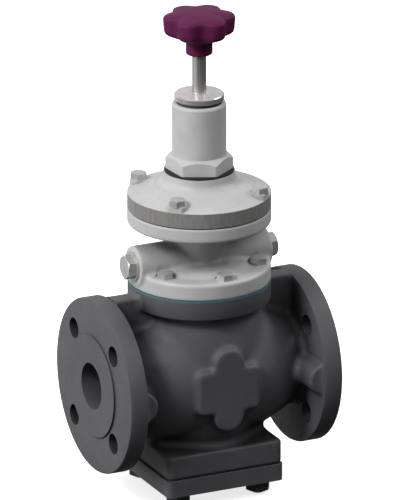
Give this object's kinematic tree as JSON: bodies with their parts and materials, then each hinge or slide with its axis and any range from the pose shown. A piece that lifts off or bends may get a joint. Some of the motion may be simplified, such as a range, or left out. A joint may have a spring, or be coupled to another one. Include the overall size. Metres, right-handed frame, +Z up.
{
  "type": "pressure reducing valve",
  "caption": "Flanged pilot operated pressure reducing valve: dark cast body, light grey pilot and spring housing on top, bare spindle with a purple lobed knob.",
  "frame": {"origin": "on the stem axis, level with the underside of the bottom studs; the flow axis is 103.5 mm above it", "axes": "+Z up along the stem to the knob, +X along the flow from the inlet flange to the outlet flange"},
  "size_m": [0.2, 0.15, 0.42],
  "materials": {
    "body_paint": "dark graphite satin paint over cast iron",
    "pilot_paint": "light grey satin paint",
    "cover_paint": "light grey satin paint with a bare turned rim",
    "painted_bolt": "light grey paint over steel",
    "plug_steel": "zinc plated steel",
    "stainless": "machined stainless steel",
    "spring_steel": "drawn spring wire",
    "spindle_steel": "turned steel",
    "polished_steel": "polished",
    "bronze": "machined bronze",
    "dark_fastener": "dark graphite paint over steel",
    "dark_joint": "graphite sheet",
    "teal_joint": "teal fibre sheet",
    "black_rubber": "matt",
    "purple_plastic": "moulded, satin"
  },
  "bodies": {
    "valve_body": {"body": "body_paint", "main_seat_ring": "stainless", "main_valve_spring": "spring_steel", "bottom_cover": "body_paint", "bottom_gasket": "dark_joint", "bottom_studs": "dark_fastener", "bottom_nuts": "dark_fastener", "piston_liner": "stainless", "body_gasket": "teal_joint", "pilot_body": "pilot_paint", "pilot_body_bolts": "painted_bolt", "inlet_side_plug": "plug_steel", "outlet_side_plug": "plug_steel", "side_plug_washers": "plug_steel", "pilot_screen": "stainless", "pilot_seat": "stainless", "pilot_valve_spring": "spring_steel", "pilot_retainer": "stainless", "diaphragm_gasket": "dark_joint", "diaphragm": "stainless", "spring_cover": "cover_paint", "cover_bolts": "painted_bolt", "housing_gasket": "dark_joint", "spring_housing": "pilot_paint", "adjusting_spring": "spring_steel", "cap_seal": "black_rubber", "top_cap": "polished_steel"},
    "main_valve_group": {"main_valve": "stainless", "piston": "bronze", "piston_rings": "stainless"},
    "pilot_group": {"pilot_valve": "stainless", "lower_spring_plate": "plug_steel"},
    "spring_follower": {"upper_spring_plate": "plug_steel"},
    "hand_spindle": {"adjusting_spindle": "spindle_steel", "knob": "purple_plastic", "knob_insert": "bronze", "knob_screw": "plug_steel", "knob_cap": "purple_plastic"}
  },
  "joints": [
    {"name": "main_valve_lift", "type": "slide", "parent": "valve_body", "child": "main_valve_group", "axis": [0, 0, -1], "range_m": [0, 0.009], "stiffness_N_per_m": 1500, "springref_m": -0.015, "deforming": ["main_valve_spring"]},
    {"name": "pilot_lift", "type": "slide", "parent": "valve_body", "child": "pilot_group", "axis": [0, 0, -1], "range_m": [0, 0.0008], "stiffness_N_per_m": 3000, "springref_m": -0.003, "deforming": ["pilot_valve_spring", "diaphragm"]},
    {"name": "spindle_feed", "type": "slide", "parent": "valve_body", "child": "spring_follower", "axis": [0, 0, -1], "range_m": [0, 0.021], "deforming": ["adjusting_spring"]},
    {"name": "spindle_turn", "type": "hinge", "parent": "spring_follower", "child": "hand_spindle", "pos_m": [0, 0, 0.4035], "axis": [0, 0, -1], "range_deg": [0, 4320]}
  ],
  "couplings": [
    {"joint": "spindle_turn", "follows": "spindle_feed", "rad_per_m": 3590.4}
  ]
}
